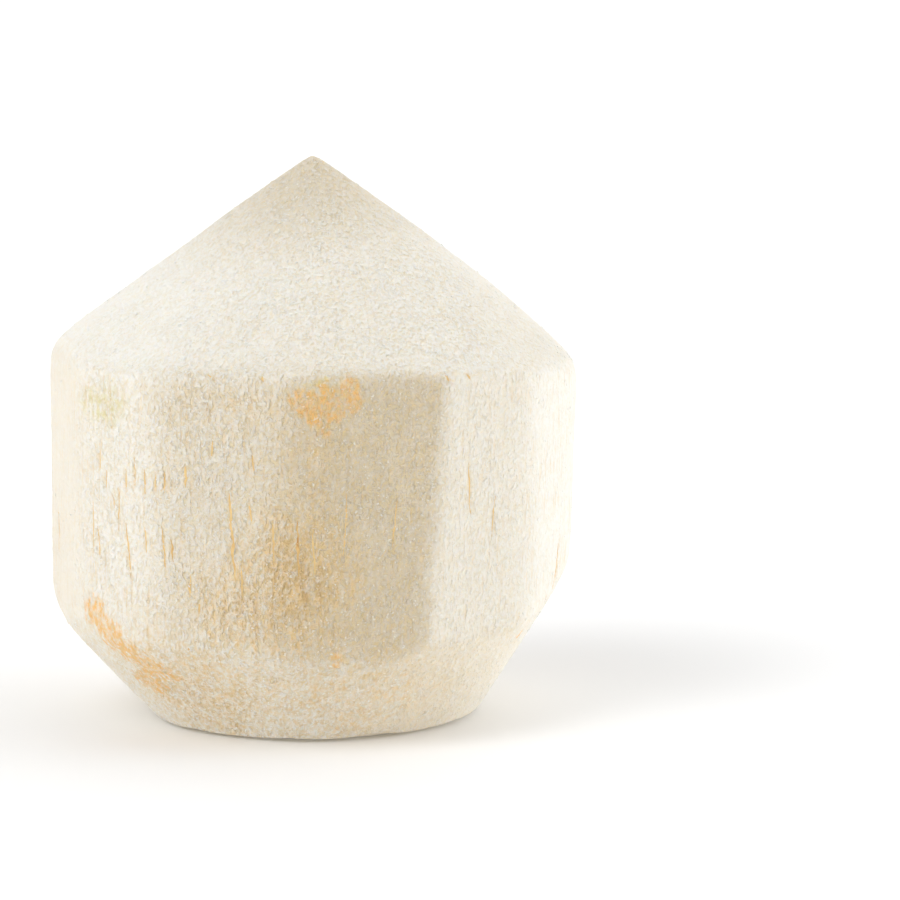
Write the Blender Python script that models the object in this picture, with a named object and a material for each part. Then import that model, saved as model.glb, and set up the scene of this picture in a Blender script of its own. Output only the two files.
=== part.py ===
"""Young coconut, peeled to its white husk and pared by hand into a peaked drum.

The fruit grew as one piece, so it is one closed solid. Straight knife strokes leave flat faces: a crown of
faces that run up to the peak, a ring of nearly upright wall faces, a ring of heel faces that slant in below,
and a flat base. The base lies at z = 0 with the origin in it, the peak points up, and the broad front face
looks along -Y. Angles go round the fruit from the front, and grow towards +X.
"""

import math

import bmesh
import bpy
import numpy as np

MM = 0.001

# Driving sizes, in millimetres
HEART = 55.0  # height of the point inside the fruit from which every face is reached by a straight line
WALL_MARK = 60.0  # height at which the reach of a wall face is measured
PEAK = 138.9  # height of the small flat left on the very tip
SHARP_EDGE = 0.45  # how far the crisp edge beside the front face is rounded
WORN_EDGE = 1.0  # how far the other edges are rounded
CROWN_EDGE = 1.6  # how far the edges between crown faces are rounded
CRISP_AT = 29.0  # degrees round the fruit where the crisp edge stands
CRISP_SPREAD = 9.0  # degrees over which it passes into the worn ones

# Wall faces: degrees round the fruit, degrees that the face looks up, reach from the axis in millimetres
WALL_STROKES = (
    (13, -2.0, 60.0),
    (42, -3.6, 61.2),
    (64, -2.4, 63.2),
    (86, -1.6, 64.7),
    (110, -1.5, 64.4),
    (137, -1.0, 62.5),
    (166, -1.0, 62.0),
    (198, -1.0, 61.0),
    (232, -1.0, 62.2),
    (263, 0.0, 64.5),
    (290, 0.0, 63.8),
    (315, 0.2, 62.5),
    (341, 0.6, 61.4),
)

# Heel faces: degrees round the fruit, degrees of slope from the floor, radius at the floor in millimetres
HEEL_STROKES = (
    (8, 52, 41.8),
    (42, 53.6, 40.6),
    (70, 53, 41.7),
    (83, 58.8, 41.5),
    (108, 57, 40.5),
    (132, 54, 41.0),
    (160, 51, 41.0),
    (195, 48, 41.0),
    (232, 45.5, 40.0),
    (268, 48, 38.7),
    (302, 49.5, 41.2),
    (335, 50, 41.0),
)

# Crown faces: degrees round the fruit, fall for each unit outwards, height where the face would meet the axis
CROWN_STROKES = (
    (13, 0.803, 140.0),
    (43, 0.777, 139.8),
    (80, 0.687, 139.3),
    (109, 0.712, 139.3),
    (137, 0.72, 140.0),
    (166, 0.77, 140.0),
    (198, 0.76, 140.0),
    (229, 0.75, 140.0),
    (259, 0.783, 143.4),
    (287, 0.764, 142.4),
    (314, 0.792, 139.4),
    (341, 0.805, 140.0),
    (62, 0.917, 148.4),
    (95, 0.935, 149.1),
    (125, 0.9, 148.7),
    (240, 0.69, 139.2),
    (275, 0.681, 139.0),
)

# Mesh rows from peak to base, and columns for each wall face
CROWN_ROWS = 18
WALL_ROWS = 12
HEEL_ROWS = 9
BASE_ROWS = 3
COLUMNS_PER_FACE = 6
ROWS = CROWN_ROWS + WALL_ROWS + HEEL_ROWS + BASE_ROWS
COLUMNS = COLUMNS_PER_FACE * len(WALL_STROKES)

# Splits along the fibre: degrees and height of the upper end, degrees and height of the lower end, width
SPLITS = (
    (-52.6, 73.0, -53.0, 65.0, 0.6),
    (-53.9, 52.0, -53.0, 43.9, 0.6),
    (-44.1, 53.9, -42.5, 40.9, 0.7),
    (-33.3, 54.4, -32.4, 43.0, 0.6),
    (-17.1, 63.2, -15.6, 42.0, 0.9),
    (-7.1, 57.1, -6.9, 46.0, 0.6),
    (-1.8, 57.1, -1.4, 42.7, 0.7),
    (30.1, 76.4, 28.5, 55.1, 0.8),
    (38.4, 69.0, 39.6, 56.4, 0.7),
    (74.0, 47.0, 73.0, 33.0, 0.7),
    (99.0, 74.0, 100.0, 58.0, 0.7),
    (121.0, 61.0, 120.5, 46.0, 0.7),
    (147.0, 80.0, 147.5, 66.0, 0.7),
    (158.0, 52.0, 157.0, 35.0, 0.8),
    (186.0, 69.0, 186.5, 55.0, 0.7),
    (207.0, 50.0, 206.0, 31.0, 0.8),
    (226.0, 78.0, 226.8, 63.0, 0.7),
    (249.0, 57.0, 248.5, 41.0, 0.8),
    (271.0, 70.0, 271.5, 58.0, 0.7),
)
SPLIT_DEPTH = 1.8

HUSK_COLOUR = (0.86, 0.79, 0.66, 1.0)
HUSK_ROUGHNESS = 0.82


def clear_scene():
    """Empty the scene, so that the file gives the same result each time."""
    for thing in list(bpy.data.objects):
        bpy.data.objects.remove(thing, do_unlink=True)


def husk_material():
    """Cream, matt material of the peeled husk."""
    material = bpy.data.materials.new("husk")
    material.use_nodes = True
    shader = material.node_tree.nodes["Principled BSDF"]
    shader.inputs["Base Color"].default_value = HUSK_COLOUR
    shader.inputs["Roughness"].default_value = HUSK_ROUGHNESS
    shader.inputs["Metallic"].default_value = 0.0
    material.diffuse_color = HUSK_COLOUR
    return material


def direction(around, down):
    """Unit vectors from the heart, for angles round the fruit and down from straight up, in radians."""
    across = np.sin(down)
    return np.stack([across * np.sin(around), -across * np.cos(around), np.cos(down)], axis=-1)


def reach_of_plane(ray, normal, offset):
    """How far each ray goes before it meets a plane: the offset over the ray's share of the normal."""
    share = ray @ np.array(normal)
    never = 400.0
    return np.where(share > offset / never, offset / np.maximum(share, 1e-6), never)


def soft_least(reaches, rounding):
    """The least of the reaches, rounded over where two of them are nearly alike."""
    reaches = np.array(reaches)
    least = reaches.min(axis=0)
    return least - rounding * np.log(np.exp(-(reaches - least) / rounding).sum(axis=0))


def slanted_reach(ray, around, looks_up, radius, height):
    """Reach of a flat face that passes a point at the radius and height, and looks up by an angle."""
    turn = math.radians(around)
    lean = math.radians(looks_up)
    normal = (math.sin(turn) * math.cos(lean), -math.cos(turn) * math.cos(lean), math.sin(lean))
    return reach_of_plane(ray, normal, radius * math.cos(lean) + (height - HEART) * math.sin(lean))


def crown_reach(ray):
    """Reach of the crown: its faces, with their edges rounded less and less towards the peak."""
    faces = []
    for around, fall, height in CROWN_STROKES:
        turn = math.radians(around)
        normal = (fall * math.sin(turn), -fall * math.cos(turn), 1.0)
        faces.append(reach_of_plane(ray, normal, height - HEART))
    from_axis = np.hypot(ray[..., 0], ray[..., 1])
    return soft_least(faces, CROWN_EDGE * np.clip(from_axis / 0.5, 0.06, 1.0))


def wall_reaches(ray):
    """Reach of each wall face."""
    return [slanted_reach(ray, around, up, reach, WALL_MARK) for around, up, reach in WALL_STROKES]


def heel_reaches(ray):
    """Reach of each heel face."""
    return [slanted_reach(ray, around, slope - 90, foot, 0.0) for around, slope, foot in HEEL_STROKES]


def base_reach(ray):
    """Reach of the flat base."""
    return reach_of_plane(ray, (0.0, 0.0, -1.0), HEART)


def husk_reach(ray, around):
    """Reach of the whole fruit: the least of all its faces, with worn edges and one crisp one."""
    tip = reach_of_plane(ray, (0.0, 0.0, 1.0), PEAK - HEART)
    from_crisp = np.degrees(np.angle(np.exp(1j * (around - math.radians(CRISP_AT)))))
    crisp = np.exp(-((from_crisp / CRISP_SPREAD) ** 2))
    rounding = WORN_EDGE + (SHARP_EDGE - WORN_EDGE) * crisp
    faces = [tip, crown_reach(ray), base_reach(ray), *wall_reaches(ray), *heel_reaches(ray)]
    return soft_least(faces, rounding)


def angle_of_edge(around, above, below, low, high):
    """Angle down from straight up at which one family of faces gives way to the next, found by halving."""
    low = np.full_like(around, math.radians(low))
    high = np.full_like(around, math.radians(high))
    for _ in range(24):
        middle = (low + high) / 2
        ray = direction(around, middle)
        above_holds = np.min(above(ray), axis=0) < np.min(below(ray), axis=0)
        low = np.where(above_holds, middle, low)
        high = np.where(above_holds, high, middle)
    return (low + high) / 2


def turn_of_edge(left, right, height):
    """Angle round the fruit of the edge between two neighbouring wall faces, at a height."""
    lines = []
    for around, up, reach in (left, right):
        turn = math.radians(around)
        lines.append((math.sin(turn), -math.cos(turn), reach - (height - WALL_MARK) * math.tan(math.radians(up))))
    (ax, ay, a), (bx, by, b) = lines
    whole = ax * by - ay * bx
    x = (a * by - b * ay) / whole
    y = (ax * b - bx * a) / whole
    return math.atan2(x, -y)


def eased(share):
    """Spread shares of 0 to 1 so that they crowd towards both ends, where the edges are."""
    return share - 0.75 * np.sin(2 * math.pi * share) / (2 * math.pi)


def column_turns(height):
    """Angles of the mesh columns at a height: the edges of the wall faces, with even steps between them."""
    count = len(WALL_STROKES)
    edges = [turn_of_edge(WALL_STROKES[i - 1], WALL_STROKES[i], height) for i in range(count)]
    edges = np.unwrap(np.array(edges + [edges[0]]))
    step = np.arange(COLUMNS_PER_FACE) / COLUMNS_PER_FACE
    return (edges[:-1, None] + eased(step)[None, :] * np.diff(edges)[:, None]).ravel()


def husk_points():
    """Points of the husk as rows by columns, in metres: rows crowd at the edges that run round the fruit."""
    shoulder_turn = column_turns(WALL_MARK + 30.0)
    heel_turn = column_turns(WALL_MARK - 35.0)
    shoulder = angle_of_edge(shoulder_turn, lambda ray: [crown_reach(ray)], wall_reaches, 20, 80)
    heel = angle_of_edge(heel_turn, wall_reaches, heel_reaches, 90, 140)
    foot = angle_of_edge(heel_turn, heel_reaches, lambda ray: [base_reach(ray)], 120, 165)
    bands = (
        (CROWN_ROWS, np.zeros(COLUMNS), shoulder),
        (WALL_ROWS, shoulder, heel),
        (HEEL_ROWS, heel, foot),
        (BASE_ROWS, foot, np.full(COLUMNS, math.pi)),
    )
    down = [bands[0][1]]
    for rows, start, end in bands:
        share = eased(np.arange(1, rows + 1) / rows)
        down.extend(start + part * (end - start) for part in share)
    down = np.array(down)
    sunk = np.clip((down - shoulder) / (heel - shoulder), 0.0, 1.0)
    around = shoulder_turn + sunk * (heel_turn - shoulder_turn)
    ray = direction(around, down)
    point = ray * husk_reach(ray, around)[..., None] + np.array([0.0, 0.0, HEART])
    flat = down >= foot + 0.3 * (math.pi - foot)
    point[..., 2] = np.where(flat, 0.0, point[..., 2])
    return point * MM


def make_husk(material):
    """The fruit: a ball whose points are carried out to the knife's faces along lines from its heart."""
    ball = bmesh.new()
    bmesh.ops.create_uvsphere(ball, u_segments=COLUMNS, v_segments=ROWS, radius=1.0)
    point = husk_points()
    for vert in ball.verts:
        row = round(math.acos(max(-1.0, min(1.0, vert.co.z))) / math.pi * ROWS)
        column = round(math.atan2(vert.co.x, -vert.co.y) / (2 * math.pi) * COLUMNS) % COLUMNS
        vert.co = point[row, column]
    mesh = bpy.data.meshes.new("coconut")
    ball.to_mesh(mesh)
    ball.free()
    mesh.shade_smooth()
    mesh.set_sharp_from_angle(angle=math.radians(35))
    mesh.materials.append(material)
    husk = bpy.data.objects.new("coconut", mesh)
    bpy.context.collection.objects.link(husk)
    return husk


def surface_point(around, height):
    """Point of the husk at an angle round the fruit and a height, in millimetres."""
    low = math.radians(20)
    high = math.radians(160)
    turn = np.array([around])
    for _ in range(24):
        middle = (low + high) / 2
        ray = direction(turn, np.array([middle]))
        point = ray[0] * husk_reach(ray, turn)[0] + np.array([0.0, 0.0, HEART])
        if point[2] > height:
            low = middle
        else:
            high = middle
    return point


def add_split_cutter(number, split, collection):
    """A thin spindle that lies half in the wall along one split, as deep as it is meant to open."""
    turn_top, top, turn_low, low, width = split
    upper = surface_point(math.radians(turn_top), top)
    lower = surface_point(math.radians(turn_low), low)
    along = (upper - lower) / np.linalg.norm(upper - lower)
    middle = (upper + lower) / 2
    outward = np.array([middle[0], middle[1], 0.0])
    outward = outward - along * (outward @ along)
    outward = outward / np.linalg.norm(outward)
    aside = np.cross(outward, along)
    half = np.linalg.norm(upper - lower) / 2
    mesh = bpy.data.meshes.new(f"split_cutter_{number}")
    spindle = bmesh.new()
    bmesh.ops.create_uvsphere(spindle, u_segments=8, v_segments=8, radius=1.0)
    for vert in spindle.verts:
        x, y, z = vert.co
        place = middle + aside * (x * width / 2) + outward * (y * SPLIT_DEPTH) + along * (z * half)
        vert.co = place * MM
    spindle.to_mesh(mesh)
    spindle.free()
    cutter = bpy.data.objects.new(f"split_cutter_{number}", mesh)
    cutter.hide_render = True
    cutter.display_type = "WIRE"
    collection.objects.link(cutter)


def cut_splits(husk):
    """Open the splits that drying has pulled along the fibre of the walls."""
    collection = bpy.data.collections.new("split_cutters")
    bpy.context.scene.collection.children.link(collection)
    for number, split in enumerate(SPLITS):
        add_split_cutter(number, split, collection)
    cut = husk.modifiers.new("splits", "BOOLEAN")
    cut.operation = "DIFFERENCE"
    cut.solver = "EXACT"
    cut.operand_type = "COLLECTION"
    cut.collection = collection


def main():
    clear_scene()
    husk = make_husk(husk_material())
    cut_splits(husk)


main()
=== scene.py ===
"""Young coconut, peeled to its white husk and pared into a peaked drum.

The husk is one closed surface: flat knife faces with worn edges, and over them the grain, the fibre lines, the
ragged shoulder edge and the dips round the splits. Thin brown wedges lie in the splits, their brown partly the
fibre's own and partly painted shade deep in the cracks, and crumbs of pith stand a little proud. The husk's colour
holds painted warm shade between and beside the grains and a painted highlight on their tops. Lengths in this file
are millimetres unless a name or comment says metres, and angles go round the fruit from the front, growing towards
+X.
"""

import math

import bpy
import numpy as np
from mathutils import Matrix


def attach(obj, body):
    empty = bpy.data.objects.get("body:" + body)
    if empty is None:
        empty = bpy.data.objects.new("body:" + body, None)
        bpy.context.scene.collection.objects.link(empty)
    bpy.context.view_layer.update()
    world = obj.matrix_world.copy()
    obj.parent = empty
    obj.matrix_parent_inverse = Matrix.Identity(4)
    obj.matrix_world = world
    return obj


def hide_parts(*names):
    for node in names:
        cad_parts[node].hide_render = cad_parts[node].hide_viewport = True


bl_info = {
    "name": "Pared Young Coconut",
    "version": (1, 0, 0),
    "blender": (4, 5, 0),
    "location": "3D View > Sidebar > Coconut",
    "description": "Makes the husk of a pared young coconut, with its splits and crumbs, on a white sweep",
    "category": "Add Mesh",
}

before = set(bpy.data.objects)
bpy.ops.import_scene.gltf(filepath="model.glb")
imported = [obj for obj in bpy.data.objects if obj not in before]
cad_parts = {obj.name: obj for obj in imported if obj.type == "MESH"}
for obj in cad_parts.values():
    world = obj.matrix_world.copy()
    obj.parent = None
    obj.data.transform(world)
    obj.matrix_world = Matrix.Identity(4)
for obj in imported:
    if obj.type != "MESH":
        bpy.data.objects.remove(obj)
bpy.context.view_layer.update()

MM = 0.001
NODE = "coconut"
BODY = "root"

# The knife's faces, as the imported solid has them
HEART = 55.0  # height of the point inside the fruit from which every face is reached by a straight line
WALL_MARK = 60.0  # height at which the reach of a wall face is measured
PEAK = 138.9  # height of the small flat left on the very tip

# Wall faces: degrees round the fruit, degrees that the face looks up, reach from the axis; then from 0 to 1 how much
# tan shows in it (fibre; at 13 and 290 degrees partly painted shade), how crumbly its grain is and how plainly its
# fibres run
WALL_STROKES = (
    # At 13 degrees the tan share is partly the fibre's colour and partly painted shade of the front face
    (13, -2.0, 60.0, 0.7, 1.15, 0.25),
    (42, -3.6, 61.2, 0.2, 0.45, 0.25),
    (64, -2.4, 63.2, 0.03, 0.15, 0.35),
    (86, -1.6, 64.7, 0.06, 0.15, 0.5),
    (110, -1.5, 64.4, 0.14, 0.3, 0.7),
    (137, -1.0, 62.5, 0.42, 0.7, 0.4),
    (166, -1.0, 62.0, 0.35, 0.8, 0.3),
    (198, -1.0, 61.0, 0.2, 0.5, 0.6),
    (232, -1.0, 62.2, 0.45, 0.7, 0.45),
    (263, 0.0, 64.5, 0.18, 0.3, 0.75),
    # At 290 degrees the tan share is partly the fibre's colour and partly painted shade of the far left
    (290, 0.0, 63.8, 0.32, 0.12, 0.3),
    (315, 0.2, 62.5, 0.12, 0.6, 0.4),
    (341, 0.6, 61.4, 0.36, 1.0, 0.4),
)

# Heel faces: degrees round the fruit, degrees of slope from the floor, radius at the floor; then the same shares
HEEL_STROKES = (
    (8, 52, 41.8, 0.16, 1.0, 0.2),
    (42, 53.6, 40.6, 0.52, 0.55, 0.2),
    (70, 53, 41.7, 0.2, 0.4, 0.3),
    (83, 58.8, 41.5, 0.15, 0.4, 0.3),
    (108, 57, 40.5, 0.2, 0.4, 0.4),
    (132, 54, 41.0, 0.3, 0.6, 0.3),
    (160, 51, 41.0, 0.4, 0.8, 0.3),
    (195, 48, 41.0, 0.3, 0.7, 0.3),
    (232, 45.5, 40.0, 0.35, 0.7, 0.3),
    (268, 48, 38.7, 0.3, 0.5, 0.4),
    (302, 49.5, 41.2, 0.04, 1.1, 0.4),
    (335, 50, 41.0, 0.1, 1.2, 0.3),
)

# Crown faces: degrees round the fruit, fall for each unit outwards, height where it would meet the axis; then the
# same shares
CROWN_STROKES = (
    (13, 0.803, 140.0, 0.15, 0.62, 0.0),
    (43, 0.777, 139.8, 0.1, 0.7, 0.0),
    (80, 0.687, 139.3, 0.07, 0.33, 0.1),
    (109, 0.712, 139.3, 0.05, 0.3, 0.1),
    (137, 0.72, 140.0, 0.05, 0.48, 0.0),
    (166, 0.77, 140.0, 0.08, 0.54, 0.0),
    (198, 0.76, 140.0, 0.04, 0.42, 0.0),
    (229, 0.75, 140.0, 0.06, 0.48, 0.0),
    (259, 0.783, 143.4, 0.03, 0.24, 0.1),
    (287, 0.764, 142.4, 0.02, 0.18, 0.1),
    (314, 0.792, 139.4, 0.02, 0.36, 0.0),
    (341, 0.805, 140.0, 0.12, 0.55, 0.0),
    (62, 0.917, 148.4, 0.15, 0.45, 0.1),
    (95, 0.935, 149.1, 0.15, 0.24, 0.1),
    (125, 0.9, 148.7, 0.12, 0.3, 0.1),
    (240, 0.69, 139.2, 0.06, 0.36, 0.0),
    (275, 0.681, 139.0, 0.05, 0.21, 0.1),
)

# Rounding of the edges: how far they are worn, and where that differs, degrees round the fruit with the wear there
CROWN_WEAR = 1.3
SHOULDER_WEAR = (
    (0, 0.3), (58, 0.35), (78, 1.7), (110, 1.7), (150, 0.6), (200, 0.6), (250, 1.6), (285, 1.8), (305, 0.4),
)
WALL_WEAR = (
    (0, 2.0), (14, 1.6), (29, 0.8), (42, 1.0), (55, 1.4), (90, 1.4), (180, 1.2), (270, 1.4), (330, 1.8), (352, 2.2),
)
HEEL_WEAR = ((0, 0.7), (20, 0.45), (50, 0.6), (80, 1.2), (180, 0.9), (290, 1.4), (330, 1.1))
HEEL_CORNER_WEAR = ((0, 2.2), (25, 3.0), (55, 2.2), (90, 1.4), (270, 1.4), (330, 2.2))
FOOT_WEAR = 0.6
LOOKS_BLEND = 0.7  # how widely the looks of two wall faces blend, as a share of the wear between them
HEEL_LOOKS_BLEND = 4.0  # how widely those of the heel faces blend

# Mesh of the husk: its finest columns, and its rows in each band. Each part of the crown ends at a share of the way
# from the peak to the shoulder, and has a number of rows and a step between the columns that it keeps
FINE_COLUMNS = 600
CROWN_ROWS = ((0.16, 17, 8), (0.34, 20, 4), (0.70, 38, 2), (0.99, 29, 1), (1.0, 4, 1))
SHOULDER_ROWS = 4  # rows in the uppermost part of the walls
SHOULDER_SHARE = 0.01  # that part, as a share of the walls
WALL_ROWS = 82
HEEL_ROWS = 38
BASE_ROWS = 8
FRONT_CROWDING = 0.45  # how much closer the columns stand at the front than on average
FLAT_FROM = 3.25  # place along the fruit from which the base is held quite flat

# Crumbs: sides and rings of one, and its smallest and largest size
CRUMB_SIDES = 4
CRUMB_RINGS = (-0.6, 0.0, 0.6)
CRUMB_LENGTH = (0.35, 1.1)
CRUMB_WIDTH = (0.14, 0.34)
CRUMB_FLATNESS = 0.5  # height of a crumb as a share of its width
DRAWS_PER_CRUMB = 5  # places drawn for each crumb that is kept

# Splits: mesh stations along one, the shallow dip in which it lies, and how the wedge in it stands to the husk
SPLIT_STATIONS = 16
SPLIT_DIP = 0.22
SPLIT_DIP_MARGIN = 0.7
SPLIT_OPENING = 0.7  # half of the wedge's width, as a share of the width in the table
SPLIT_RIM = 0.02  # how far its sides stand above the husk
SPLIT_CREST = 0.05  # how far its middle stands above the husk
SPLIT_ROOT = 0.4  # how far its lower edge lies under the husk

# Splits along the fibre: degrees and height of the upper end, degrees and height of the lower end, width, and how
# brown the split is from 0 to 1
SPLITS = (
    (-52.6, 73.0, -53.0, 65.0, 0.3, 0.35),
    (-55.5, 58.1, -55.4, 44.6, 0.3, 0.4),
    (-53.9, 52.0, -53.0, 43.9, 0.45, 0.6),
    (-50.6, 66.0, -50.8, 61.0, 0.28, 0.35),
    (-48.3, 60.2, -48.0, 57.1, 0.35, 0.45),
    (-46.2, 63.0, -46.5, 52.0, 0.3, 0.4),
    (-44.1, 53.9, -42.5, 40.9, 0.5, 0.7),
    (-44.0, 66.9, -43.7, 61.3, 0.4, 0.5),
    (-41.0, 70.0, -41.2, 62.0, 0.28, 0.35),
    (-38.0, 67.6, -38.1, 60.4, 0.42, 0.55),
    (-38.1, 53.5, -37.6, 47.3, 0.35, 0.5),
    (-35.0, 67.0, -35.2, 62.5, 0.3, 0.4),
    (-33.3, 54.4, -32.4, 43.0, 0.45, 0.7),
    (-32.6, 67.6, -32.6, 62.4, 0.5, 0.75),
    (-30.9, 51.5, -30.5, 45.8, 0.5, 0.85),
    (-27.5, 69.6, -27.3, 63.9, 0.5, 0.5),
    (-26.4, 43.4, -26.3, 37.7, 0.45, 0.55),
    (-24.3, 36.9, -24.2, 33.3, 0.4, 0.55),
    (-26.9, 25.0, -27.2, 21.2, 0.55, 0.75),
    (-22.2, 91.2, -20.2, 89.3, 0.45, 0.5),
    (-9.2, 91.3, -8.8, 89.7, 0.45, 0.5),
    (31.3, 91.0, 32.5, 88.5, 0.4, 0.5),
    (37.0, 90.7, 38.0, 89.0, 0.4, 0.5),
    (-21.0, 76.0, -21.2, 71.0, 0.4, 0.5),
    (-17.1, 63.2, -15.6, 42.0, 0.7, 0.65),
    (-14.3, 46.0, -14.0, 38.0, 0.35, 0.6),
    (-11.6, 72.7, -11.3, 68.3, 0.35, 0.6),
    (-12.2, 61.0, -12.0, 56.0, 0.35, 0.45),
    (-7.1, 57.1, -6.9, 46.0, 0.5, 0.55),
    (-1.8, 57.1, -1.4, 42.7, 0.5, 1.0),
    (1.8, 56.0, 2.0, 42.0, 0.35, 0.4),
    (9.4, 63.0, 8.6, 47.0, 0.3, 0.3),
    (21.0, 62.0, 20.0, 50.0, 0.28, 0.25),
    (38.4, 69.0, 39.6, 56.4, 0.4, 0.4),
    (47.0, 60.0, 46.5, 50.0, 0.3, 0.35),
    (74.0, 47.0, 73.0, 33.0, 0.5, 0.6),
    (88.0, 80.0, 88.5, 68.0, 0.4, 0.5),
    (99.0, 74.0, 100.0, 58.0, 0.5, 0.6),
    (108.0, 50.0, 107.5, 38.0, 0.4, 0.5),
    (121.0, 61.0, 120.5, 46.0, 0.5, 0.8),
    (131.0, 72.0, 131.5, 60.0, 0.4, 0.5),
    (147.0, 80.0, 147.5, 66.0, 0.55, 0.6),
    (158.0, 52.0, 157.0, 35.0, 0.7, 0.8),
    (172.0, 74.0, 172.5, 64.0, 0.4, 0.5),
    (186.0, 69.0, 186.5, 55.0, 0.5, 0.7),
    (207.0, 50.0, 206.0, 31.0, 0.6, 0.8),
    (218.0, 66.0, 218.0, 54.0, 0.4, 0.5),
    (226.0, 78.0, 226.8, 63.0, 0.5, 0.6),
    (249.0, 57.0, 248.5, 41.0, 0.6, 0.7),
    (271.0, 70.0, 271.5, 58.0, 0.5, 0.6),
    (284.0, 52.0, 284.0, 42.0, 0.4, 0.5),
)

# Stains: degrees round, height, half-width in degrees, half-height, strength, how green from 0 to 1
STAINS = (
    (3.0, 88.0, 5.0, 3.0, 0.55, 0.9),
    (-0.5, 85.0, 3.0, 4.0, 0.9, 0.0),
    (3.5, 82.0, 6.0, 3.0, 1.0, 0.0),
    (10.0, 86.5, 3.0, 4.5, 1.0, 0.0),
    (4.5, 78.5, 2.0, 2.5, 0.4, 0.0),
    (4.5, 85.0, 6.0, 4.5, 0.85, 0.0),
    (-55.0, 30.5, 4.2, 5.0, 1.0, 0.0),
    (-50.5, 26.0, 5.2, 5.2, 1.0, 0.0),
    (-45.5, 22.0, 5.8, 4.8, 1.0, 0.0),
    (-41.5, 18.0, 5.6, 4.2, 1.0, 0.0),
    (-47.0, 13.5, 7.0, 3.5, 0.9, 0.0),
    (-36.0, 17.0, 3.0, 2.5, 0.6, 0.0),
    (-52.0, 82.0, 9.0, 6.5, 0.32, 1.0),
    (7.0, 23.5, 1.5, 3.0, 0.8, 0.0),
    (61.4, 23.7, 1.0, 1.1, 1.0, 0.0),
    (118.0, 80.0, 5.0, 6.0, 0.7, 0.2),
    (171.0, 24.0, 8.0, 7.0, 0.8, 0.0),
    (238.0, 84.0, 6.0, 5.0, 0.7, 0.3),
    (214.0, 22.0, 5.0, 6.0, 0.6, 0.0),
)

# Broad tan areas, where the fibre shows through: the same terms, without the last one
TAN_AREAS = (
    (-1.0, 42.0, 10.0, 15.0, 1.0),
    (-12.0, 36.0, 11.0, 10.0, 0.75),
    (2.0, 70.0, 8.0, 20.0, 0.2),
    (-16.0, 84.0, 14.0, 5.0, 0.2),
    (-30.0, 13.0, 26.0, 14.0, 0.48),
    (10.0, 12.0, 28.0, 13.0, 0.38),
    (150.0, 48.0, 22.0, 22.0, 0.5),
    (255.0, 40.0, 18.0, 18.0, 0.4),
)

# Relief of the husk: heights and depths of its parts
WAVE_HEIGHT = 0.14
WAVE_SIZE = np.array([13.0, 13.0, 16.0])
LUMP_HEIGHT = 0.10
ROUGH_HEIGHT = 0.10
LINE_HEIGHT = 0.10
FINE_LINE_HEIGHT = 0.07
GRAIN_STRETCH = 1.9  # length of a grain along the fibre, as a share of its width
GRAIN_EDGE = 0.62  # distance from its middle, in grain widths, at which a grain sinks to the level of the face
GRAIN_DOMING = 1.6
CLUMP_SIZE = 6.0
RAGGED_DEPTH = 0.35  # nicks along the shoulder edge
RAGGED_REACH = 0.012  # how far they reach from it, as a share of the walls
HOLLOW_DEPTH = 0.7  # shallow hollow in the front of the crown
HOLLOW_TURN = (13.0, 40.0)  # its middle and half-width, in degrees round the fruit
HOLLOW_RADIUS = (15.0, 10.0)  # its middle and half-width, outwards from the axis
BASE_FADE = 1.6  # height over the floor at which the relief reaches its full strength

# Colour fields: how they grow towards the tip, with the distance over which they fade, and inside the dips
TIP_TAN = (0.56, 30.0)
TIP_CRUMBLY = (0.95, 48.0)
TIP_MIDDLE = np.array([0.0, -6.0, PEAK])
DIP_WARMTH = 0.25

# Noises of the materials: width across the fibre, stretch along it, detail and roughness
PEBBLES = (1.15, 1.35, 2.0, 0.62)
CLUMPS = (5.0, 1.6, 2.0, 0.6)
PITS = (0.85, 1.6, 1.0, 0.5)
LINES = (0.8, 11.0, 1.0, 0.5)
FLECKS = (1.3, 1.5, 3.0, 0.65)
STREAKS = (1.3, 9.0, 2.0, 0.5)
CRUMB_FLECKS = (1.1, 2.0, 3.0, 0.6)
SPLIT_PATCHES = (0.9, 3.0, 2.0, 0.6)

# How strongly the material tints the raised grains with a painted highlight, the pits with a tan that is partly
# painted shade, the hollows and the lower right sides with painted warm shade, and the fibre lines
PAINTED_HIGHLIGHT_TINT = 0.1
PIT_TINT = 0.5
HOLLOW_SHADE_TINT = 0.38
PAINTED_SHADE_TINT = 0.62
LINE_TINT = 0.7
CARVING = -0.2  # how far pits and fibre lines lower the height that the bump is drawn from
FLECK_CONTRAST = 7.0  # how sharply the flecks break up a stain
TINTS = (("warm", 0.8), ("green", 0.7), ("stain", 0.95))

# Step in millimetres, to the left and up, at which the pebbles are read again. Where they rise that way, the lower
# right side of a grain gets painted warm shade in yellow. This is painted shade and no light: it stays when the light
# moves
PAINTED_SHADE_SHIFT = (-0.24, 0.0, 0.34)
PAINTED_SHADE_RISE = 0.16  # rise over that step at which the painted shade is full

# Stage: lengths in metres, angles in degrees
FLOOR_HALF = 14.0
FLOOR_DROP = 0.0002  # between the base and the floor
CAMERA_PLACE = (0.034, -0.988, 0.201)
CAMERA_PITCH = 7.82  # below the horizon
SENSOR_WIDTH = 36.0  # millimetres
WHITE = (1.0, 1.0, 1.0, 1.0)
BACKDROP = 1.05  # brightness of the world as the camera sees it

# Lights of the tent: the setting that holds the strength, degrees round from the front, degrees up and tightness
LIGHTS = (
    ("left_light", -55.0, 36.0, 4.5),
    ("key_light", -50.0, 42.0, 25.0),
    ("right_light", 90.0, 26.0, 4.5),
    ("back_light", 180.0, 45.0, 5.0),
)


def setting(kind, name, description, default, low=0.0, high=1.0, **rest):
    """A property for the sidebar, held between two limits."""
    return kind(name=name, description=description, default=default, min=low, max=high, **rest)


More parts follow.
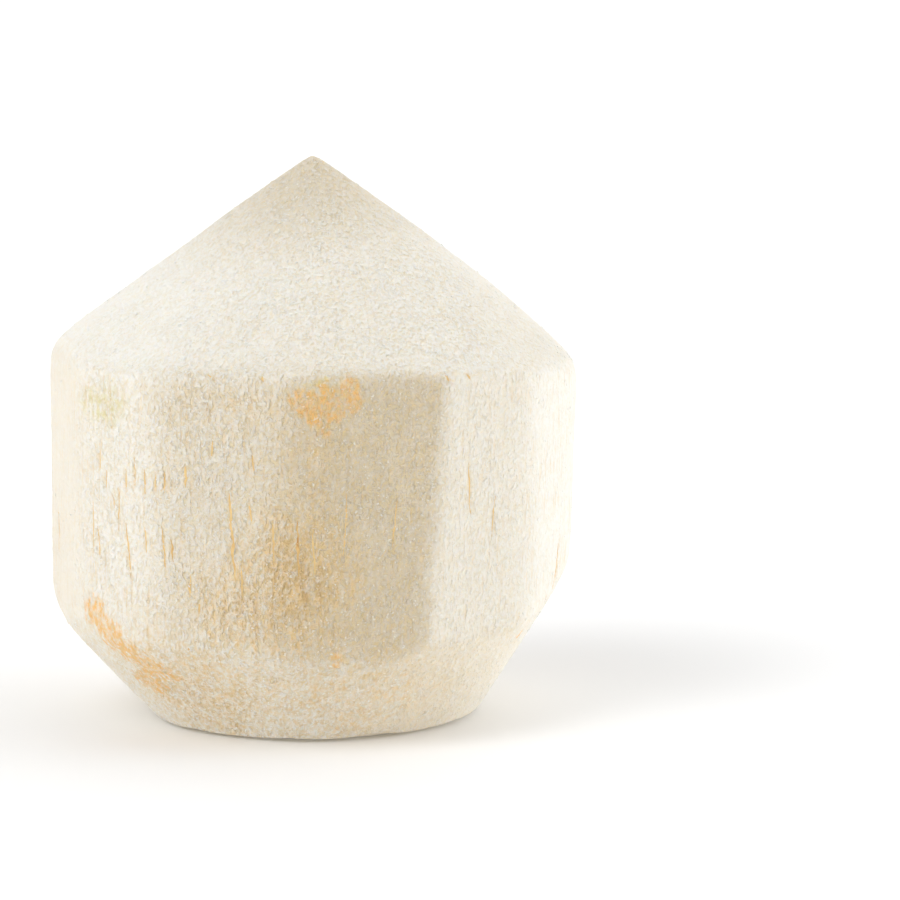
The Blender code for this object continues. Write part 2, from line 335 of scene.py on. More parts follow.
def length_setting(name, description, default, low, high):
    """A length for the sidebar, given here in millimetres."""
    limits = (default * MM, low * MM, high * MM)
    return setting(bpy.props.FloatProperty, name, description, *limits, precision=5, unit="LENGTH")


def share_setting(name, description, default):
    """A share from 0 to 1 for the sidebar."""
    return setting(bpy.props.FloatProperty, name, description, default, subtype="FACTOR")


def colour_setting(name, description, default):
    """A colour for the sidebar."""
    return setting(bpy.props.FloatVectorProperty, name, description, default, size=3, subtype="COLOR")


def light_setting(name, description, default, high=20.0):
    """The strength of a light for the sidebar."""
    return setting(bpy.props.FloatProperty, name, description, default, 0.0, high)


class HuskSettings(bpy.types.PropertyGroup):
    """Sizes and colours of the cut husk."""

    grain_height: length_setting("Grain height", "How far the pebbled grain of the crown stands out", 0.26, 0.0, 1.0)
    grain_width: length_setting("Grain width", "Width of one grain, across the fibre", 1.25, 0.5, 5.0)
    bump_depth: length_setting("Bump depth", "Depth of the finest grain, which the material draws", 1.7, 0.0, 3.0)
    roughness: share_setting("Roughness", "How matt the husk is", 0.82)
    glow: share_setting("Glow", "Share of the light that spreads inside the husk", 0.4)
    glow_reach: length_setting("Glow reach", "How far red light spreads inside the husk", 0.6, 0.0, 10.0)
    cream: colour_setting("Husk", "Colour of the fresh-cut husk", (0.820, 0.803, 0.748))
    # Pith colour: the drier crumbs' own colour, and on the raised grains of the husk a painted highlight
    pith_and_highlight: colour_setting("Pith", "Colour of the raised, drier grains", (0.88, 0.865, 0.81))
    # Pit colour: partly the pits' own tan, partly painted warm shade, and the colour of the painted shade of the lows
    # and lower right sides
    pit_and_shade: colour_setting("Pits", "Colour deep between the grains", (0.73, 0.585, 0.315))
    tan: colour_setting("Fibre", "Colour where bundles of fibre show through", (0.555, 0.445, 0.292))
    warm: colour_setting("Warm fibre", "Colour of the streaks where the fibre has turned orange", (0.79, 0.555, 0.26))
    # Split colour: partly the brown of the fibre in the cracks, partly painted shade deep in them
    split: colour_setting("Splits", "Colour deep in the brownest splits", (0.52, 0.29, 0.10))
    stain: colour_setting("Stain", "Colour of the husk where it has browned in the air", (0.82, 0.48, 0.16))
    green: colour_setting("Green trace", "Colour of the traces of green skin", (0.63, 0.56, 0.20))


class ScatterSettings(bpy.types.PropertyGroup):
    """Number of the crumbs, and the draw that places them."""

    crumbs: setting(
        bpy.props.IntProperty,
        "Crumbs",
        "Number of crumbs of pith on the crown, and on the walls; the heel has half as many",
        5000,
        0,
        8300,
    )
    seed: bpy.props.IntProperty(
        name="Seed",
        description="Start of the random draws",
        default=7,
        min=0,
    )


class StageSettings(bpy.types.PropertyGroup):
    """Floor, light and camera."""

    floor_colour: colour_setting("Floor", "Colour of the sweep", (0.88, 0.88, 0.88))
    floor_glow: light_setting(
        "Floor glow", "Light that the sweep sends up besides what it reflects, unseen by the camera", 0.34, 2.0
    )
    left_light: light_setting("Left light", "Brightness of the soft light at the left", 1.05)
    key_light: light_setting(
        "Key light", "Brightness of the smaller light above the camera's left, which picks out the grain", 5.5, 50.0
    )
    right_light: light_setting("Right light", "Brightness of the soft light at the right", 2.25)
    back_light: light_setting("Back light", "Brightness of the soft light behind", 1.4)
    fill_light: light_setting("Fill light", "Brightness of the light from everywhere else", 0.02)
    lens: setting(bpy.props.FloatProperty, "Lens", "Focal length of the camera in millimetres", 160.0, 20.0, 400.0)


class CoconutSettings(bpy.types.PropertyGroup):
    """Everything that the sidebar shows."""

    husk: bpy.props.PointerProperty(type=HuskSettings)
    scatter: bpy.props.PointerProperty(type=ScatterSettings)
    stage: bpy.props.PointerProperty(type=StageSettings)


# Shape of the pared fruit


def smooth_step(value, low, high):
    """0 below low, 1 above high, and the cubic 3t^2 - 2t^3 of the share t between them."""
    share = np.clip((value - low) / (high - low), 0.0, 1.0)
    return share * share * (3.0 - 2.0 * share)


def turn_between(around, degrees):
    """Signed degrees from a given angle to each angle round the fruit, in -180 to 180."""
    return np.degrees(np.angle(np.exp(1j * (around - math.radians(degrees)))))


def slanted_face(around, looks_up, radius, height):
    """Normal and offset, from the heart, of a flat face through a radius and height that looks up by an angle."""
    turn = math.radians(around)
    lean = math.radians(looks_up)
    normal = (math.sin(turn) * math.cos(lean), -math.cos(turn) * math.cos(lean), math.sin(lean))
    return (*normal, radius * math.cos(lean) + (height - HEART) * math.sin(lean))


def crown_face(around, fall, height):
    """Normal and offset of a crown face: the plane of height minus fall times the distance outwards."""
    turn = math.radians(around)
    return (fall * math.sin(turn), -fall * math.cos(turn), 1.0, height - HEART)


CROWN_FACES = np.array([crown_face(*stroke[:3]) for stroke in CROWN_STROKES])
WALL_FACES = np.array([slanted_face(*stroke[:3], WALL_MARK) for stroke in WALL_STROKES])
HEEL_FACES = np.array([slanted_face(turn, slope - 90, foot, 0.0) for turn, slope, foot, *_ in HEEL_STROKES])
LOOKS = np.array([stroke[3:] for stroke in (*CROWN_STROKES, *WALL_STROKES, *HEEL_STROKES)])
BASE_FACE = np.array([(0.0, 0.0, -1.0, HEART)])
TIP_FACE = np.array([(0.0, 0.0, 1.0, PEAK - HEART)])


def reaches(ray, faces):
    """How far each ray goes before each face: the face's offset over the ray's share of its normal."""
    never = 400.0
    share = ray @ faces[:, :3].T
    return np.where(share > faces[:, 3] / never, faces[:, 3] / np.maximum(share, 1e-6), never)


def soft_least(lengths, rounding):
    """Least of the lengths, rounded where two are alike: least - k log(sum exp(-(length - least) / k))."""
    least = lengths.min(axis=-1)
    excess = np.exp(-(lengths - least[..., None]) / rounding[..., None])
    return least - rounding * np.log(excess.sum(axis=-1))


def wear_at(around, table):
    """Rounding of an edge at each angle, read off a table of degrees and roundings that goes once round."""
    degrees, rounding = np.array(table).T
    return np.interp(np.degrees(around) % 360, degrees, rounding, period=360)


def pared_reach(ray, around):
    """Distance from the heart to the pared surface: the soft least of the crown, wall, heel, base and tip faces."""
    from_axis = np.hypot(ray[..., 0], ray[..., 1])
    crown = soft_least(reaches(ray, CROWN_FACES), CROWN_WEAR * np.clip(from_axis / 0.5, 0.06, 1.0))
    wall = soft_least(reaches(ray, WALL_FACES), wear_at(around, WALL_WEAR))
    heel = soft_least(reaches(ray, HEEL_FACES), wear_at(around, HEEL_CORNER_WEAR))
    upper = soft_least(np.stack([crown, wall], axis=-1), wear_at(around, SHOULDER_WEAR))
    sides = soft_least(np.stack([upper, heel], axis=-1), wear_at(around, HEEL_WEAR))
    ends = reaches(ray, np.concatenate([TIP_FACE, BASE_FACE]))
    return soft_least(np.concatenate([sides[..., None], ends], axis=-1), np.full(around.shape, FOOT_WEAR))


def ray_at(around, down):
    """Unit vectors from the heart at angles round the fruit and down from straight up."""
    across = np.sin(down)
    return np.stack([across * np.sin(around), -across * np.cos(around), np.cos(down)], axis=-1)


def edge_between(around, above, below, low, high):
    """Radius and height of the edge where one family of faces gives way to the next, found by halving."""
    low = np.full_like(around, math.radians(low))
    high = np.full_like(around, math.radians(high))
    for _ in range(26):
        middle = (low + high) / 2
        ray = ray_at(around, middle)
        above_holds = reaches(ray, above).min(axis=-1) < reaches(ray, below).min(axis=-1)
        low = np.where(above_holds, middle, low)
        high = np.where(above_holds, high, middle)
    ray = ray_at(around, low)
    reach = reaches(ray, above).min(axis=-1)
    return reach * np.sin(low), HEART + reach * np.cos(low)


EDGE_TURNS = np.linspace(0.0, 2 * math.pi, 1440, endpoint=False)
SHOULDER = edge_between(EDGE_TURNS, CROWN_FACES, WALL_FACES, 20, 80)
HEEL = edge_between(EDGE_TURNS, WALL_FACES, HEEL_FACES, 90, 140)
FOOT = edge_between(EDGE_TURNS, HEEL_FACES, BASE_FACE, 120, 165)


def edge_at(around, values):
    """The radius or height of an edge that runs round the fruit, at each angle."""
    return np.interp(around, EDGE_TURNS, values, period=2 * math.pi)


def husk_at(around, along):
    """Points of the pared surface and their rays from the heart.

    Along is 0 at the peak, 1 on the shoulder edge, 2 on the heel edge, 3 on the foot edge and 4 at the middle of
    the base. Between two of these, a straight line joins them, and each of its points is carried along the ray
    from the heart to the pared surface.
    """
    nothing = np.zeros_like(around)
    edges = (SHOULDER, HEEL, FOOT)
    radius = np.array([nothing, *(edge_at(around, edge[0]) for edge in edges), nothing])
    height = np.array([nothing + PEAK, *(edge_at(around, edge[1]) for edge in edges), nothing])
    band = np.clip(np.floor(along), 0, 3).astype(int)[None]

    def between(line):
        """The value on the straight line from one edge to the next."""
        here, beyond = (np.take_along_axis(line, band + step, 0)[0] for step in (0, 1))
        return here + (along - band[0]) * (beyond - here)

    out, up = between(radius), between(height) - HEART
    ray = np.stack([out * np.sin(around), -out * np.cos(around), up], axis=-1)
    ray /= np.linalg.norm(ray, axis=-1, keepdims=True)
    point = ray * pared_reach(ray, around)[..., None] + np.array([0.0, 0.0, HEART])
    return point, ray


# Grain, splits and stains, as functions of place on the husk


def hashed(cell, seed):
    """Repeatable numbers from 0 to 1, one for each whole-number cell, by mixing its three indices."""
    mixed = cell[..., 0] * 374761393 + cell[..., 1] * 668265263 + cell[..., 2] * 1274126177 + seed * 362437
    mixed = mixed & 0xFFFFFFFF
    mixed = ((mixed ^ (mixed >> 13)) * 1103515245) & 0xFFFFFFFF
    mixed = ((mixed ^ (mixed >> 15)) * 668265263) & 0xFFFFFFFF
    return ((mixed ^ (mixed >> 16)) & 0xFFFFFF) / float(0xFFFFFF)


def drift(place, seed):
    """Smooth noise from -1 to 1: random values at whole-number cells, blended by the quintic fade."""
    cell = np.floor(place).astype(np.int64)
    share = place - cell
    fade = share**3 * (share * (share * 6 - 15) + 10)
    total = np.zeros(place.shape[:-1])
    for corner in np.ndindex(2, 2, 2):
        weight = np.prod(np.where(np.array(corner) == 1, fade, 1 - fade), axis=-1)
        total += weight * hashed(cell + np.array(corner), seed)
    return total * 2 - 1


def grains(place, seed):
    """Domes packed side by side: for each point, the distance to the nearest jittered cell centre, and its number."""
    cell = np.floor(place).astype(np.int64)
    nearest = np.full(place.shape[:-1], 9.0)
    number = np.zeros(place.shape[:-1])
    for step in np.ndindex(3, 3, 3):
        here = cell + np.array(step) - 1
        jitter = np.stack([hashed(here, seed + axis) for axis in range(3)], axis=-1)
        gap = np.linalg.norm(here + 0.15 + 0.7 * jitter - place, axis=-1)
        closer = gap < nearest
        nearest = np.where(closer, gap, nearest)
        number = np.where(closer, jitter[..., 0], number)
    return nearest, number


def along_fibre(point, width, stretch):
    """Coordinates in grain widths, stretched along the fibre, which runs up the fruit."""
    return point / np.array([width, width, width * stretch])


def fibre_drift(point, width, stretch, seed):
    """Smooth noise from -1 to 1, of a width across the fibre and stretched along it."""
    return drift(along_fibre(point, width, stretch), seed)


def clumps_at(point):
    """Where the grain and the crumbs crowd, from 0 to 1: a smooth step of slow noise."""
    return smooth_step(drift(point / CLUMP_SIZE, 12), -0.5, 0.4)


def bell(value, middle, half_width):
    """The bell exp(-((value - middle) / half-width)^2)."""
    return np.exp(-(((value - middle) / half_width) ** 2))


def husk_looks(ray, around):
    """Tan, crumbliness and fibre of the face that each ray meets, blended as widely as the edges there are worn."""
    lengths = reaches(ray, np.concatenate([CROWN_FACES, WALL_FACES, HEEL_FACES]))
    on_heel = lengths[..., -len(HEEL_FACES):].min(axis=-1) < lengths[..., : -len(HEEL_FACES)].min(axis=-1)
    blend = np.where(on_heel, HEEL_LOOKS_BLEND, LOOKS_BLEND * wear_at(around, WALL_WEAR))
    weight = np.exp(-(lengths - lengths.min(axis=-1, keepdims=True)) / blend[..., None])
    return np.moveaxis(weight @ LOOKS / weight.sum(axis=-1, keepdims=True), -1, 0)


def split_dips(around, point):
    """The shallow dips round the splits, from 0 to 1: one minus the squared offset from the split's line."""
    dip = np.zeros(around.shape)
    radius = np.hypot(point[..., 0], point[..., 1])
    for turn_top, top, turn_low, low, width, _ in SPLITS:
        share = np.clip((top - point[..., 2]) / (top - low), 0, 1)
        middle = turn_top + share * (turn_low - turn_top)
        aside = np.radians(turn_between(around - np.radians(middle), 0.0)) * radius
        half = (SPLIT_DIP_MARGIN + width / 2) * np.sqrt(np.sin(math.pi * share) + 1e-6)
        dip = np.maximum(dip, np.clip(1 - (aside / half) ** 2, 0, 1))
    return dip


def relief(around, along, point, ray, settings):
    """Height of the husk above the pared faces: knife waves, lumps, grain domes and fibre lines, less the splits."""
    _, crumbly, fibrous = husk_looks(ray, around)
    width = settings.grain_width / MM
    tall = settings.grain_height / MM
    waves = WAVE_HEIGHT * drift(point / WAVE_SIZE, 1)
    lumps = LUMP_HEIGHT * fibre_drift(point, 3.4, 1.6, 2)
    gap, number = grains(along_fibre(point, width, GRAIN_STRETCH), 3)
    domes = tall * (0.5 + 0.8 * number) * np.clip(GRAIN_EDGE - gap, -0.35, 0.6) * GRAIN_DOMING
    rough = ROUGH_HEIGHT * fibre_drift(point, 0.95, 1.8, 7)
    lines = LINE_HEIGHT * fibre_drift(point, 1.1, 14.0, 4) + FINE_LINE_HEIGHT * fibre_drift(point, 0.75, 9.0, 5)
    _, _, warm = stain_fields(around, point)
    grain = (domes + rough) * (0.12 + 0.88 * crumbly * (0.5 + 0.5 * clumps_at(point)) + 0.7 * warm)
    height = waves + lumps * (0.3 + 0.7 * crumbly) + grain + lines * fibrous
    height -= SPLIT_DIP * split_dips(around, point)
    height -= RAGGED_DEPTH * (bell(along, 1.0, RAGGED_REACH) * np.clip(fibre_drift(point, 1.4, 0.6, 8), 0, 1))
    turn, half_turn = HOLLOW_TURN
    front = bell(turn_between(around, turn), 0.0, half_turn)
    from_axis = np.hypot(point[..., 0], point[..., 1])
    height -= HOLLOW_DEPTH * front * bell(from_axis, *HOLLOW_RADIUS) * (point[..., 2] > HEART)
    return height * smooth_step(point[..., 2], 0.0, BASE_FADE)


def blot_offset(around, point, turn, height, wide, tall):
    """Squared offset from the middle of an ellipse on the husk, in its half-widths and half-heights."""
    return (turn_between(around, turn) / wide) ** 2 + ((point[..., 2] - height) / tall) ** 2


def stain_fields(around, point):
    """Stain, green and tan from 0 to 1: soft ellipses, broken up by noise that runs along the fibre."""
    torn = fibre_drift(point, 1.7, 2.2, 21) + 0.7 * fibre_drift(point, 0.9, 2.6, 22)
    streaks = fibre_drift(point, 1.5, 9.0, 23) + 0.6 * fibre_drift(point, 0.8, 7.0, 24)
    stain = np.zeros(around.shape)
    green = np.zeros(around.shape)
    for *ellipse, strength, greenness in STAINS:
        off = blot_offset(around, point, *ellipse)
        body = np.exp(-off) + 0.28 * torn * np.exp(-off * 0.5)
        blot = strength * smooth_step(body, 0.28, 0.85)
        stain = np.maximum(stain, blot * (1 - greenness))
        green = np.maximum(green, blot * greenness)
    tan = np.zeros(around.shape)
    for *ellipse, strength in TAN_AREAS:
        off = blot_offset(around, point, *ellipse)
        tan = np.maximum(tan, strength * np.exp(-off) * np.clip(0.85 + 0.55 * streaks, 0.2, 1.5))
    return np.clip(stain, 0, 1), np.clip(green, 0, 1), np.clip(tan, 0, 1)


def finished_husk(around, along, settings):
    """Points of the husk with its relief, carried out along the rays from the heart, and the rays."""
    point, ray = husk_at(around, along)
    return point + ray * relief(around, along, point, ray, settings)[..., None], ray


def paint(around, point, ray, dry=0.0, split=0.0):
    """The husk's colour fields by name: crumbly, fibrous, stain, green, tan, warm, split and dry."""
    tan, crumbly, fibrous = husk_looks(ray, around)
    stain, green, warm = stain_fields(around, point)
    from_tip = np.linalg.norm(point - TIP_MIDDLE, axis=-1)
    tan = np.maximum(tan, TIP_TAN[0] * bell(from_tip, 0.0, TIP_TAN[1]))
    crumbly = np.maximum(crumbly, TIP_CRUMBLY[0] * bell(from_tip, 0.0, TIP_CRUMBLY[1]))
    warm = np.maximum(warm, DIP_WARMTH * split_dips(around, point))
    return {
        "crumbly": crumbly,
        "fibrous": fibrous,
        "stain": stain,
        "green": green,
        "tan": np.clip(tan, 0, 1),
        "warm": np.clip(warm, 0, 1),
        "split": np.broadcast_to(split, around.shape),
        "dry": np.broadcast_to(dry, around.shape),
    }


# Meshes and objects


def stitch(rows):
    """Faces between rows of vertices, given as arrays of indices: quads, or threes of triangles where they double."""
    faces = []
    for upper, lower in zip(rows, rows[1:]):
        after, below = np.roll(upper, -1), np.roll(lower, -1)
        if len(upper) == 1:
            parts = [(np.repeat(upper, len(lower)), lower, below)]
        elif len(lower) == 1:
            parts = [(upper, np.repeat(lower, len(upper)), after)]
        elif len(lower) == len(upper):
            parts = [(upper, lower, below, after)]
        elif len(lower) == 2 * len(upper):
            near, middle, far = lower[0::2], lower[1::2], np.roll(lower[0::2], -1)
            parts = [(upper, near, middle), (upper, middle, after), (after, middle, far)]
        else:
            near, middle, far = upper[0::2], upper[1::2], np.roll(upper[0::2], -1)
            parts = [(near, lower, middle), (lower, below, middle), (middle, below, far)]
        for part in parts:
            faces += np.stack(part, axis=1).tolist()
    return faces


def copied_faces(template, count, size):
    """The faces of one small form for many copies of it, each of them a given number of points after the last."""
    faces = []
    for corners in (3, 4):
        part = np.array([face for face in template if len(face) == corners])
        if len(part):
            faces += (part[None] + (np.arange(count) * size)[:, None, None]).reshape(-1, corners).tolist()
    return faces


def make_piece(name, points, faces, fields, material, smooth=True):
    """A mesh object from points in millimetres, with one float attribute for each colour field."""
    mesh = bpy.data.meshes.new(name)
    mesh.from_pydata((points * MM).tolist(), [], faces)
    if smooth:
        mesh.shade_smooth()
    for field, values in fields.items():
        attribute = mesh.attributes.new(field, "FLOAT", "POINT")
        attribute.data.foreach_set("value", np.ascontiguousarray(values, dtype=np.float32))
    mesh.materials.append(material)
    mesh.update()
    piece = bpy.data.objects.new(name, mesh)
    bpy.context.collection.objects.link(piece)
    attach(piece, BODY)
    return piece


def husk_rows():
    """Rows of the husk's mesh: each is its place along the fruit and the step between the columns it keeps."""
    rows = []
    start = 0.0
    for end, count, step in CROWN_ROWS:
        rows += [(start + (end - start) * (i + 1) / count, step) for i in range(count)]
        start = end
    rows += [(1 + SHOULDER_SHARE * (i + 1) / SHOULDER_ROWS, 1) for i in range(SHOULDER_ROWS)]
    rows += [(1 + SHOULDER_SHARE + (1 - SHOULDER_SHARE) * (i + 1) / WALL_ROWS, 1) for i in range(WALL_ROWS)]
    rows += [(2 + (i + 1) / HEEL_ROWS, 2) for i in range(HEEL_ROWS)]
    rows += [(3 + (i + 1) / BASE_ROWS, 4 if i > 0 else 2) for i in range(BASE_ROWS - 1)]
    return rows


def column_turns():
    """Angles of the finest columns: u less a share of sin u, so that they crowd at the front."""
    even = 2 * math.pi * np.arange(FINE_COLUMNS) / FINE_COLUMNS
    return even - FRONT_CROWDING * np.sin(even)


def husk_mesh(settings):
    """Points, faces and colour fields of the husk, from the peak down to the middle of the base."""
    turns = column_turns()
    around, along, rows = [np.zeros(1)], [np.zeros(1)], [np.arange(1)]
    count = 1
    for place, step in husk_rows():
        kept = turns[::step]
        around.append(kept)
        along.append(np.full(len(kept), place))
        rows.append(np.arange(count, count + len(kept)))
        count += len(kept)
    around.append(np.zeros(1))
    along.append(np.full(1, 4.0))
    rows.append(np.arange(count, count + 1))
    around, along = np.concatenate(around), np.concatenate(along)
    point, ray = finished_husk(around, along, settings)
    point[along > FLAT_FROM, 2] = 0.0
    return point, stitch(rows), paint(around, point, ray)


def scattered(count, draw, spread, low, high, settings):
    """Places on the husk between two rows, drawn with a chance that follows a spread function, with their frames.

    A frame is the outward normal, the direction up the fruit within the surface, and the direction across.
    """
    many = count * DRAWS_PER_CRUMB
    around = draw.uniform(0, 2 * math.pi, many)
    along = draw.uniform(low, high, many)
    point, ray = husk_at(around, along)
    radius = np.hypot(point[:, 0], point[:, 1])
    chance = radius * spread(around, point, ray)
    kept = draw.choice(many, count, replace=False, p=chance / chance.sum())
    around, along = around[kept], along[kept]
    step = 0.004
    point, ray = finished_husk(around, along, settings)
    here, _ = husk_at(around, along)
    across = husk_at(around + step, along)[0] - here
    up = husk_at(around, along - step)[0] - here
    normal = np.cross(across, up)
    frame_of = [normal, up]
    frame_of = [v / np.linalg.norm(v, axis=1, keepdims=True) for v in frame_of]
    frame_of.append(np.cross(frame_of[1], frame_of[0]))
    return around, point, ray, frame_of


def spindles(centre, along, aside, out, length, width, bend, arch):
    """Closed spindles along s in -1 to 1, with rings of radius w sqrt(1 - s^2), bent aside and arched out."""
    stations = np.array(CRUMB_RINGS)
    angle = 2 * math.pi * (np.arange(CRUMB_SIDES) + 0.5) / CRUMB_SIDES
    count = len(centre)

    def axis_at(s):
        """Points on the bent middle lines, at a place s on each."""
        shift = along * (s * length)[:, None] + aside * ((s * s - 0.4) * bend)[:, None]
        return centre + shift + out * ((1 - s * s) * arch)[:, None]

    rings = [axis_at(np.full(count, -1.0))[:, None, :]]
    for station in stations:
        radius = (width * math.sqrt(1 - station * station))[:, None, None]
        ring = aside[:, None, :] * np.cos(angle)[None, :, None]
        ring = ring + CRUMB_FLATNESS * out[:, None, :] * np.sin(angle)[None, :, None]
        rings.append(axis_at(np.full(count, station))[:, None, :] + ring * radius)
    rings.append(axis_at(np.full(count, 1.0))[:, None, :])
    points = np.concatenate(rings, axis=1)
    size = points.shape[1]
    inner = np.arange(1, size - 1).reshape(len(stations), CRUMB_SIDES)
    template = stitch([np.arange(1), *inner, np.arange(size - 1, size)])
    return points.reshape(-1, 3), copied_faces(template, count, size), size


def crumb_mesh(count, seed, low, high, settings):
    """Points, faces and colour fields of crumbs between two rows of the husk, thickest where it is crumbly."""
    draw = np.random.default_rng(seed)

    def spread(around, point, ray):
        """Chance of a crumb: greater where the husk is crumbly, in clumps, and on the front half."""
        _, crumbly, _ = husk_looks(ray, around)
        front_half = np.abs(turn_between(around, 0)) < 95
        return (0.03 + crumbly**1.5) * (0.25 + clumps_at(point)) * np.where(front_half, 1.0, 0.6)

    around, point, ray, (out, up, across) = scattered(count, draw, spread, low, high, settings)
    turn = draw.normal(0, 0.9, count)
    along = up * np.cos(turn)[:, None] + across * np.sin(turn)[:, None]
    aside = np.cross(out, along)
    size = draw.power(0.6, count)
    length = CRUMB_LENGTH[0] + (CRUMB_LENGTH[1] - CRUMB_LENGTH[0]) * size * draw.uniform(0.5, 1.0, count)
    width = CRUMB_WIDTH[0] + (CRUMB_WIDTH[1] - CRUMB_WIDTH[0]) * size * draw.uniform(0.4, 1.0, count)
    bend = length * draw.uniform(-0.6, 0.6, count)
    arch = width * draw.uniform(-0.6, 0.4, count)
    points, faces, each = spindles(point, along, aside, out, length / 2, width, bend, arch)
    fields = paint(around, point, ray, dry=draw.uniform(0.2, 1.0, count))
    return points, faces, {name: np.repeat(values, each) for name, values in fields.items()}


def split_rows(settings):
    """Stations along every split: angle, point on the husk, ray, half-width of the wedge, and how brown it is."""
    draw = np.random.default_rng(settings.scatter.seed + 50)
    share = np.linspace(0, 1, SPLIT_STATIONS)[None]
    turn_top, top, turn_low, low, width, brown = (column[:, None] for column in np.array(SPLITS).T)
    around = np.radians(turn_top + share * (turn_low - turn_top)) % (2 * math.pi)
    height = top + share * (low - top)
    phase = draw.uniform(0, 100, (len(SPLITS), 1))
    wobble = np.stack([phase + height / 1.9, phase * 2 + 0 * height, phase * 3 + 0 * height], axis=-1)
    around = around + (0.22 * drift(wobble, 41) + 0.12 * drift(wobble * 2.6, 42)) / 60.0
    shoulder, heel = edge_at(around, SHOULDER[1]), edge_at(around, HEEL[1])
    along = 1 + np.clip((shoulder - height) / (shoulder - heel), -0.03, 1.25)
    point, ray = finished_husk(around, along, settings.husk)
    half = SPLIT_OPENING * width * np.sqrt(np.sin(math.pi * share) + 0.004) * (1 + 0.45 * drift(wobble * 1.7, 43))
    return around, point, ray, half, brown


def split_mesh(settings):
    """Points, faces and colour fields of the splits: thin brown wedges whose upper face lies just in the husk."""
    around, point, ray, half, brown = split_rows(settings)
    count, stations = around.shape
    tangent = np.gradient(point, axis=1)
    tangent /= np.linalg.norm(tangent, axis=-1, keepdims=True)
    out = np.stack([np.sin(around), -np.cos(around), np.zeros_like(around)], axis=-1)
    aside = np.cross(out, tangent)
    side = aside * half[..., None]
    rim = out * SPLIT_RIM
    ring = [point + side + rim, point + out * SPLIT_CREST, point - side + rim, point - out * SPLIT_ROOT]
    points = np.stack(ring, axis=2).reshape(-1, 3)
    size = stations * 4
    walls = []
    for station in range(stations - 1):
        for corner in range(4):
            after = (corner + 1) % 4
            low, high = station * 4, (station + 1) * 4
            walls.append((low + corner, high + corner, high + after, low + after))
    ends = [(0, 1, 2, 3), tuple(size - 1 - i for i in range(4))]
    faces = copied_faces(walls + ends, count, size)
    fields = paint(around.ravel(), point.reshape(-1, 3), ray.reshape(-1, 3), split=np.repeat(brown, stations))
    return points, faces, {name: np.repeat(values, 4) for name, values in fields.items()}


# Material


def new_material(name):
    """A material with nodes, its node tree and its shader."""
    material = bpy.data.materials.new(name)
    material.use_nodes = True
    return material, material.node_tree, material.node_tree.nodes["Principled BSDF"]


def feed(tree, socket, value):
    """Give a socket its value, or link it to the output that stands for the value."""
    if isinstance(value, bpy.types.NodeSocket):
        tree.links.new(value, socket)
    else:
        socket.default_value = value


def add_node(tree, kind, inputs=(), **values):
    """A shader node with its settings and the values or links of its inputs."""
    node = tree.nodes.new(kind)
    for name, value in values.items():
        setattr(node, name, value)
    for name, value in dict(inputs).items():
        feed(tree, node.inputs[name], value)
    return node


def math_node(tree, operation, first, second=0.0, third=0.0):
    """The output of a Math node on two or three values."""
    return add_node(tree, "ShaderNodeMath", {0: first, 1: second, 2: third}, operation=operation).outputs[0]


def times(tree, first, second):
    """The product of two values."""
    return math_node(tree, "MULTIPLY", first, second)


def mix_colours(tree, factor, first, second):
    """The output of a colour Mix node."""
    node = add_node(tree, "ShaderNodeMix", data_type="RGBA")
    for name, value in (("Factor_Float", factor), ("A_Color", first), ("B_Color", second)):
        feed(tree, next(s for s in node.inputs if s.identifier == name), value)
    return next(s for s in node.outputs if s.identifier == "Result_Color")


def colour(value):
    """A colour setting with full alpha."""
    return (*value, 1.0)


def fibre_place(tree, stretch, shift=(0.0, 0.0, 0.0)):
    """The place on the husk, squeezed along the height so that a texture on it is stretched along the fibre.

    A shift in millimetres reads the texture that far away.
    """
    place = add_node(tree, "ShaderNodeTexCoord").outputs["Object"]
    move = (shift[0] * MM, shift[1] * MM, shift[2] * MM / stretch)
    inputs = {"Vector": place, "Location": move, "Scale": (1.0, 1.0, 1.0 / stretch)}
    return add_node(tree, "ShaderNodeMapping", inputs).outputs[0]


def grain_noise(tree, across, stretch, detail, roughness, shift=(0.0, 0.0, 0.0)):
    """Noise of a given width across the fibre, in millimetres, stretched along it."""
    place = fibre_place(tree, stretch, shift)
    inputs = {"Vector": place, "Scale": 1.0 / (across * MM), "Detail": detail, "Roughness": roughness}
    return add_node(tree, "ShaderNodeTexNoise", inputs).outputs["Fac"]


def ramp(tree, value, low, high):
    """The share of a value between two bounds, held within 0 and 1."""
    node = add_node(tree, "ShaderNodeMapRange", {"Value": value, "From Min": low, "From Max": high})
    return node.outputs[0]


def set_finish(shader, settings):
    """The husk's matt finish, and the light that spreads a little way inside it."""
    shader.inputs["Roughness"].default_value = settings.roughness
    shader.inputs["Specular IOR Level"].default_value = 0.3
    shader.inputs["Subsurface Weight"].default_value = settings.glow
    shader.inputs["Subsurface Radius"].default_value = (1.0, 0.8, 0.55)
    shader.inputs["Subsurface Scale"].default_value = settings.glow_reach


def husk_colour(tree, settings, field, fleck):
    """The husk's colour before its grain: cream, with tan fibre, orange streaks, green traces and stains mixed in."""
    streaks = grain_noise(tree, *STREAKS)
    tan = times(tree, field["tan"], math_node(tree, "MULTIPLY_ADD", streaks, 0.5, 0.75))
    base = mix_colours(tree, tan, colour(settings.cream), colour(settings.tan))
    for name, strength in TINTS:
        torn = math_node(tree, "MULTIPLY_ADD", fleck, FLECK_CONTRAST, -FLECK_CONTRAST / 2)
        broken = ramp(tree, math_node(tree, "ADD", field[name], torn), -0.5, 1.5)
        broken = times(tree, broken, ramp(tree, field[name], 0.0, 0.3))
        base = mix_colours(tree, times(tree, broken, strength), base, colour(getattr(settings, name)))
    return base


